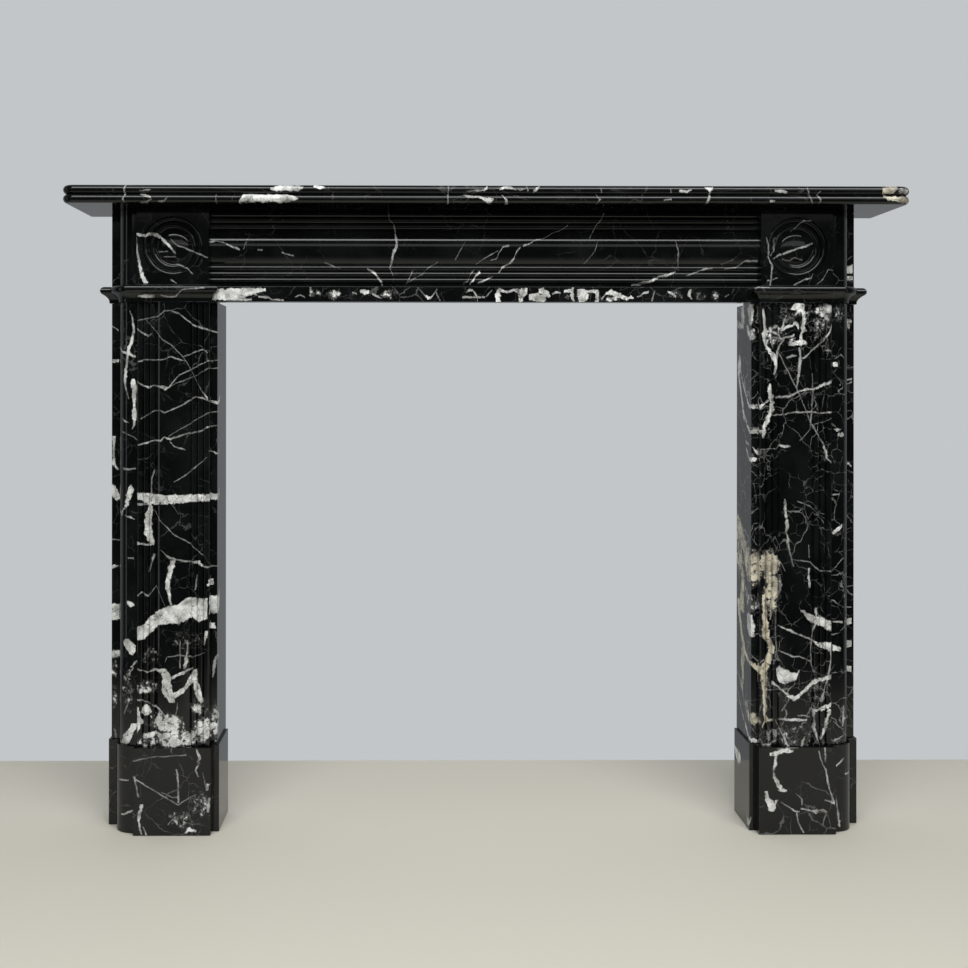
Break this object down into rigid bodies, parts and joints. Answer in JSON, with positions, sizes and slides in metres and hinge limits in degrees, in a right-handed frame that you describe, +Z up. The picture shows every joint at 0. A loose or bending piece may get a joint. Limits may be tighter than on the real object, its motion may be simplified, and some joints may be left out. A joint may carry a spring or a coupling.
{
  "type": "fireplace mantel",
  "caption": "Bullseye chimneypiece of polished black marble: reeded jambs on plinths, moulded capitals, roundel blocks, reeded frieze and a double-beaded shelf round a fire opening.",
  "frame": {"origin": "on the floor, at the middle of the overall width and depth", "axes": "+Z up, +X to the right of someone who faces the front, +Y towards the wall; the front faces -Y"},
  "size_m": [1.61, 0.203, 1.25],
  "materials": {
    "black_marble": "polished black marble with white calcite veins"
  },
  "bodies": {
    "root": {"shelf": "black_marble", "frieze_panel": "black_marble", "lintel_band": "black_marble", "left_corner_block": "black_marble", "left_frieze_corner_post": "black_marble", "left_frieze_side_slip": "black_marble", "left_capital": "black_marble", "left_jamb_panel": "black_marble", "left_jamb_corner_post": "black_marble", "left_jamb_side_slip": "black_marble", "left_jamb_return": "black_marble", "left_plinth_block": "black_marble", "left_plinth_corner_post": "black_marble", "left_plinth_side_slip": "black_marble", "left_plinth_return": "black_marble", "right_corner_block": "black_marble", "right_frieze_corner_post": "black_marble", "right_frieze_side_slip": "black_marble", "right_capital": "black_marble", "right_jamb_panel": "black_marble", "right_jamb_corner_post": "black_marble", "right_jamb_side_slip": "black_marble", "right_jamb_return": "black_marble", "right_plinth_block": "black_marble", "right_plinth_corner_post": "black_marble", "right_plinth_side_slip": "black_marble", "right_plinth_return": "black_marble"}
  },
  "joints": []
}
